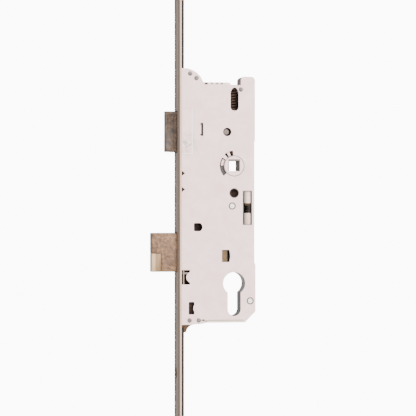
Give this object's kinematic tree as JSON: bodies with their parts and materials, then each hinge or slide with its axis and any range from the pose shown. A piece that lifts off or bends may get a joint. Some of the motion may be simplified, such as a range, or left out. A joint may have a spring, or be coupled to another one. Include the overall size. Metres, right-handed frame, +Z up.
{
  "type": "multipoint door lock",
  "caption": "Multipoint door lock: long faceplate with sliding rollers, flat case with spring latch, deadbolt, spindle hub and cylinder hole.",
  "frame": {"origin": "on the axis of the square spindle hole, half way through the case's thickness", "axes": "+X into the door leaf, away from the faceplate; -Y out of the case's cover; +Z up"},
  "size_m": [0.0822, 0.016, 1.614],
  "materials": {
    "faceplate_plating": "satin",
    "case_sheet": "satin",
    "bright_steel": "brushed",
    "dark_steel": "dull",
    "rod_steel": "dull",
    "cast_bolt": "mottled cast",
    "roller_steel": "turned",
    "brass": "dull",
    "spring_steel": "drawn wire"
  },
  "bodies": {
    "case": {"faceplate": "faceplate_plating", "case_tray": "case_sheet", "case_cover": "case_sheet", "case_rivets": "bright_steel", "case_posts": "bright_steel", "screw_blocks": "dark_steel", "case_screws": "roller_steel", "latch_guide": "bright_steel", "deadbolt_guide": "bright_steel", "gear_stud": "dark_steel", "lever_post": "dark_steel", "cylinder_collar": "bright_steel", "latch_spring_post": "bright_steel", "latch_spring": "spring_steel", "hub_return_spring": "spring_steel", "rod_guides": "rod_steel"},
    "hub": {"spindle_hub": "bright_steel"},
    "gear": {"drive_gear": "brass"},
    "follower": {"spring_follower": "bright_steel"},
    "latch": {"latch_bolt": "cast_bolt", "latch_tail": "dark_steel"},
    "upper_rod": {"upper_drive_rod": "rod_steel", "upper_rack": "bright_steel", "upper_roller_studs": "roller_steel"},
    "lower_rod": {"lower_drive_rod": "rod_steel", "lower_slide": "rod_steel", "lower_rack": "bright_steel", "buffer_cup": "brass", "buffer_spring": "spring_steel", "lower_roller_studs": "roller_steel"},
    "roller_body_1": {"roller_1": "roller_steel"},
    "roller_body_2": {"roller_2": "roller_steel"},
    "roller_body_3": {"roller_3": "roller_steel"},
    "roller_body_4": {"roller_4": "roller_steel"},
    "deadbolt_body": {"deadbolt": "cast_bolt", "bolt_insert": "bright_steel", "deadbolt_tail": "dark_steel", "tail_block": "brass"},
    "lever": {"deadbolt_lever": "dark_steel"}
  },
  "joints": [
    {"name": "upper_rod_slide", "type": "slide", "parent": "case", "child": "upper_rod", "axis": [0, 0, -1], "range_m": [0, 0.022], "stiffness_N_per_m": 720, "springref_m": -0.007},
    {"name": "hub_turn", "type": "hinge", "parent": "case", "child": "hub", "pos_m": [0, 0, 0], "axis": [0, 1, 0], "range_deg": [0, 53.58]},
    {"name": "gear_turn", "type": "hinge", "parent": "case", "child": "gear", "pos_m": [0, 0, -0.02125], "axis": [0, -1, 0], "range_deg": [0, 112.04]},
    {"name": "lower_rod_slide", "type": "slide", "parent": "case", "child": "lower_rod", "axis": [0, 0, 1], "range_m": [0, 0.022]},
    {"name": "follower_lift", "type": "slide", "parent": "case", "child": "follower", "axis": [0, 0, 1], "range_m": [0, 0.0094], "deforming": ["hub_return_spring"]},
    {"name": "latch_slide", "type": "slide", "parent": "case", "child": "latch", "axis": [1, 0, 0], "range_m": [0, 0.01], "deforming": ["latch_spring"]},
    {"name": "deadbolt_slide", "type": "slide", "parent": "case", "child": "deadbolt_body", "axis": [1, 0, 0], "range_m": [0, 0.02]},
    {"name": "lever_swing", "type": "hinge", "parent": "case", "child": "lever", "pos_m": [-0.02, 0, -0.092], "axis": [0, 1, 0], "range_deg": [0, 60]},
    {"name": "roller_1_spin", "type": "hinge", "parent": "upper_rod", "child": "roller_body_1", "pos_m": [-0.05, 0, 0.735], "axis": [1, 0, 0], "continuous": true},
    {"name": "roller_2_spin", "type": "hinge", "parent": "upper_rod", "child": "roller_body_2", "pos_m": [-0.05, 0, 0.33], "axis": [1, 0, 0], "continuous": true},
    {"name": "roller_3_spin", "type": "hinge", "parent": "lower_rod", "child": "roller_body_3", "pos_m": [-0.05, 0, -0.38], "axis": [1, 0, 0], "continuous": true},
    {"name": "roller_4_spin", "type": "hinge", "parent": "lower_rod", "child": "roller_body_4", "pos_m": [-0.05, 0, -0.77], "axis": [1, 0, 0], "continuous": true}
  ],
  "couplings": [
    {"joint": "hub_turn", "follows": "upper_rod_slide", "rad_per_m": 42.506},
    {"joint": "gear_turn", "follows": "upper_rod_slide", "rad_per_m": 88.885},
    {"joint": "lower_rod_slide", "follows": "upper_rod_slide", "ratio": 1},
    {"joint": "follower_lift", "follows": "upper_rod_slide", "ratio": 0.42725},
    {"joint": "latch_slide", "follows": "upper_rod_slide", "ratio": 0.4545},
    {"joint": "lever_swing", "follows": "deadbolt_slide", "rad_per_m": 52.36}
  ]
}
